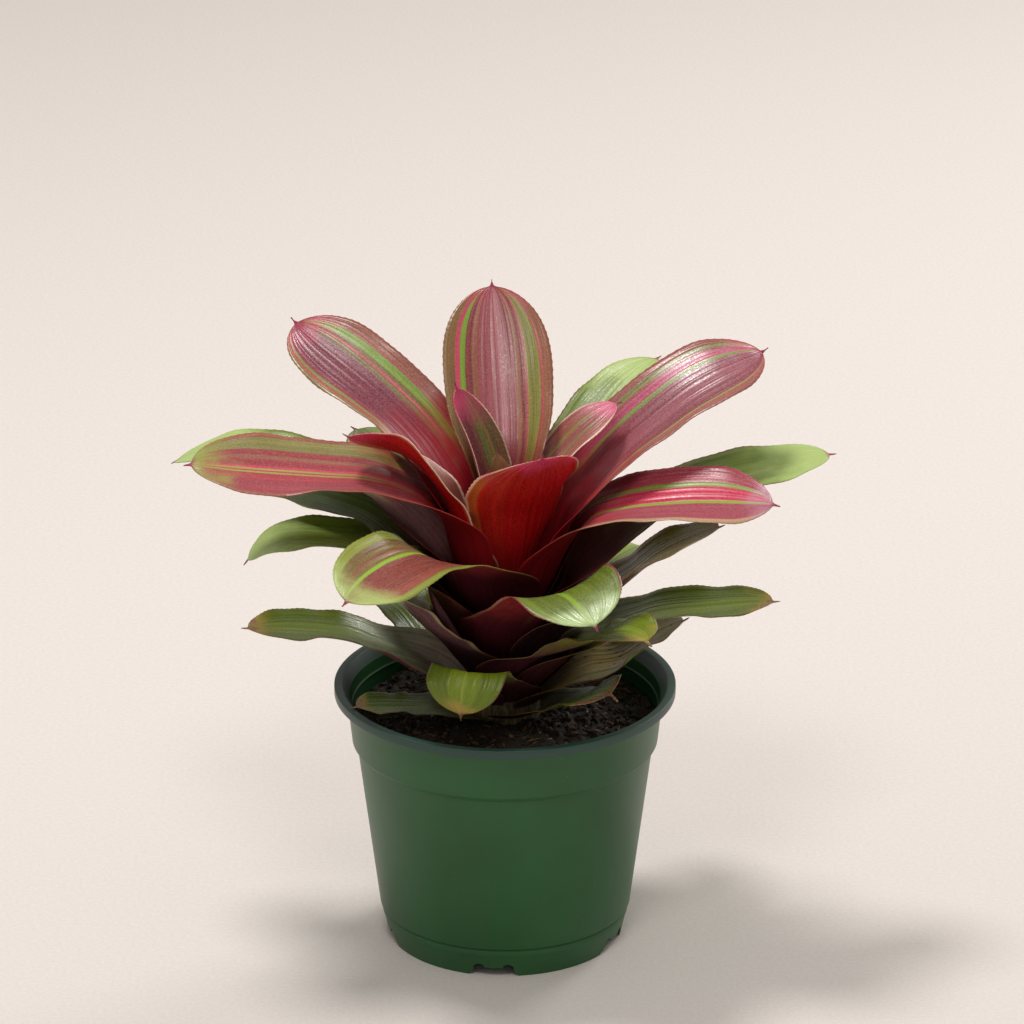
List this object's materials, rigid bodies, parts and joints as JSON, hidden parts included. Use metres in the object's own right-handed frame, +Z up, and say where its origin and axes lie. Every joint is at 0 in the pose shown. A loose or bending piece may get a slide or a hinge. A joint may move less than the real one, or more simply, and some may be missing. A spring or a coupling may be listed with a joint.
{
  "type": "potted bromeliad",
  "caption": "Rosette of broad strap leaves, green and wine red with stripes, growing from soil in a tapered round nursery pot with a rolled rim and a notched foot.",
  "frame": {"origin": "on the pot's axis, on the surface that the pot's foot ring stands on", "axes": "+Z up along the pot's axis, +X to the right and +Y to the back of the plant as it is shown from the front"},
  "size_m": [0.322, 0.2178, 0.31],
  "materials": {
    "pot_plastic": "injection-moulded polypropylene, satin, dark green",
    "potting_soil": "loose peat and bark potting mix with perlite, matte",
    "stem_tissue": "fibrous plant stem, matte",
    "green_leaf": "waxy living leaf, satin, green with paler stripes",
    "red_leaf": "waxy living leaf, satin, wine red with green and pink stripes"
  },
  "bodies": {
    "root": {"pot": "pot_plastic", "soil": "potting_soil", "stem": "stem_tissue", "leaf_01": "green_leaf", "leaf_02": "green_leaf", "leaf_03": "green_leaf", "leaf_04": "green_leaf", "leaf_05": "green_leaf", "leaf_06": "green_leaf", "leaf_07": "green_leaf", "leaf_08": "green_leaf", "leaf_09": "green_leaf", "leaf_10": "green_leaf", "leaf_11": "green_leaf", "leaf_12": "green_leaf", "leaf_13": "green_leaf", "leaf_14": "red_leaf", "leaf_15": "green_leaf", "leaf_16": "green_leaf", "leaf_17": "green_leaf", "leaf_18": "green_leaf", "leaf_19": "red_leaf", "leaf_20": "green_leaf", "leaf_21": "green_leaf", "leaf_22": "green_leaf", "leaf_23": "red_leaf", "leaf_24": "red_leaf", "leaf_25": "red_leaf", "leaf_26": "red_leaf", "leaf_27": "red_leaf", "leaf_28": "red_leaf", "leaf_29": "red_leaf", "leaf_30": "red_leaf", "leaf_31": "red_leaf", "leaf_32": "red_leaf"}
  },
  "joints": []
}
